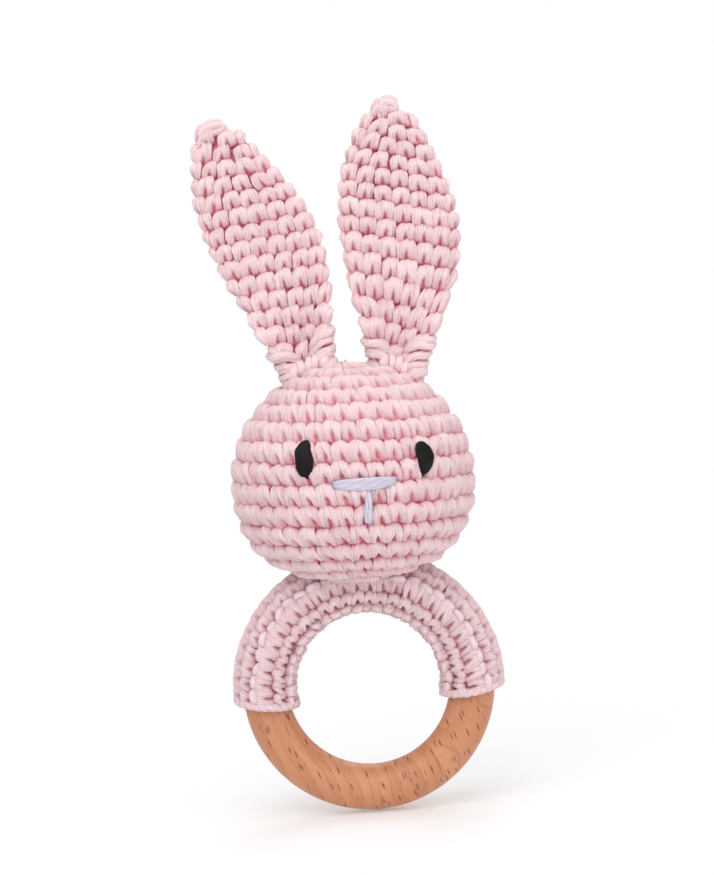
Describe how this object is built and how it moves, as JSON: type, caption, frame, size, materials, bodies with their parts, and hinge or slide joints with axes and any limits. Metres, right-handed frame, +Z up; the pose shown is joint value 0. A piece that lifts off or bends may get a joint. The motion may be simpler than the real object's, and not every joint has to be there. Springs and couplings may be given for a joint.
{
  "type": "crocheted rattle teething ring",
  "caption": "Stuffed crocheted rabbit head with two long floppy ears and a rattle inside, sewn to a crocheted sleeve that turns on a round wooden teething ring.",
  "frame": {"origin": "lowest point of the wooden ring's rim, in the ring's middle plane", "axes": "+Z up from the ring to the ears, +Y towards the back of the toy and along the ring's axis, +X to the viewer's right; the face looks along -Y"},
  "size_m": [0.0661, 0.06, 0.169],
  "materials": {
    "beech": "smooth, oiled, satin",
    "pink_yarn": "matt cotton yarn in single crochet",
    "black_thread": "satin-stitched embroidery thread",
    "lilac_thread": "satin-stitched embroidery thread",
    "fibre_fill": "loose polyester fibre",
    "capsule_plastic": "moulded, matt",
    "bead_plastic": "polished"
  },
  "bodies": {
    "ring": {"wooden_ring": "beech"},
    "sleeve": {"ring_sleeve": "pink_yarn", "sleeve_seam": "pink_yarn", "neck_stitching": "pink_yarn"},
    "head": {"head_shell": "pink_yarn", "stuffing_lower": "fibre_fill", "stuffing_upper": "fibre_fill", "rattle_capsule_lower": "capsule_plastic", "rattle_capsule_upper": "capsule_plastic", "eye_left": "black_thread", "eye_right": "black_thread", "nose_stitch": "lilac_thread", "mouth_stitch": "lilac_thread"},
    "left_ear_root": {"ear_left_stitching": "pink_yarn"},
    "left_ear_blade": {"ear_left": "pink_yarn"},
    "right_ear_root": {"ear_right_stitching": "pink_yarn"},
    "right_ear_blade": {"ear_right": "pink_yarn"},
    "bead_1": {"rattle_bead_1": "bead_plastic"},
    "bead_2": {"rattle_bead_2": "bead_plastic"},
    "bead_3": {"rattle_bead_3": "bead_plastic"},
    "bead_4": {"rattle_bead_4": "bead_plastic"},
    "bead_5": {"rattle_bead_5": "bead_plastic"},
    "bead_6": {"rattle_bead_6": "bead_plastic"}
  },
  "joints": [
    {"name": "sleeve_turn", "type": "hinge", "parent": "ring", "child": "sleeve", "pos_m": [0, 0, 0.03], "axis": [0, 1, 0], "continuous": true},
    {"name": "head_nod", "type": "hinge", "parent": "sleeve", "child": "head", "pos_m": [0, 0, 0.0546], "axis": [1, 0, 0], "range_deg": [-10, 10], "stiffness_Nm_per_rad": 0.15},
    {"name": "ear_left_splay", "type": "hinge", "parent": "head", "child": "left_ear_root", "pos_m": [-0.0096, 0, 0.10893], "axis": [0, -1, 0], "range_deg": [-2, 18], "stiffness_Nm_per_rad": 0.006},
    {"name": "ear_left_flop", "type": "hinge", "parent": "left_ear_root", "child": "left_ear_blade", "pos_m": [-0.0096, 0, 0.10893], "axis": [0.9537, 0, 0.3007], "range_deg": [-70, 75], "stiffness_Nm_per_rad": 0.004},
    {"name": "ear_right_splay", "type": "hinge", "parent": "head", "child": "right_ear_root", "pos_m": [0.0125, 0, 0.10779], "axis": [0, 1, 0], "range_deg": [-2, 18], "stiffness_Nm_per_rad": 0.006},
    {"name": "ear_right_flop", "type": "hinge", "parent": "right_ear_root", "child": "right_ear_blade", "pos_m": [0.0125, 0, 0.10779], "axis": [0.9991, 0, -0.0419], "range_deg": [-70, 75], "stiffness_Nm_per_rad": 0.004},
    {"name": "tumble_bead_1", "type": "slide", "parent": "head", "child": "bead_1", "axis": [0, 0, 1], "range_m": [0, 0.0146]},
    {"name": "tumble_bead_2", "type": "slide", "parent": "head", "child": "bead_2", "axis": [0, 0, 1], "range_m": [0, 0.0146]},
    {"name": "tumble_bead_3", "type": "slide", "parent": "head", "child": "bead_3", "axis": [0, 0, 1], "range_m": [0, 0.0146]},
    {"name": "tumble_bead_4", "type": "slide", "parent": "head", "child": "bead_4", "axis": [0, 0, 1], "range_m": [0, 0.0146]},
    {"name": "tumble_bead_5", "type": "slide", "parent": "head", "child": "bead_5", "axis": [0, 0, 1], "range_m": [0, 0.0146]},
    {"name": "tumble_bead_6", "type": "slide", "parent": "head", "child": "bead_6", "axis": [0, 0, 1], "range_m": [0, 0.0146]}
  ]
}
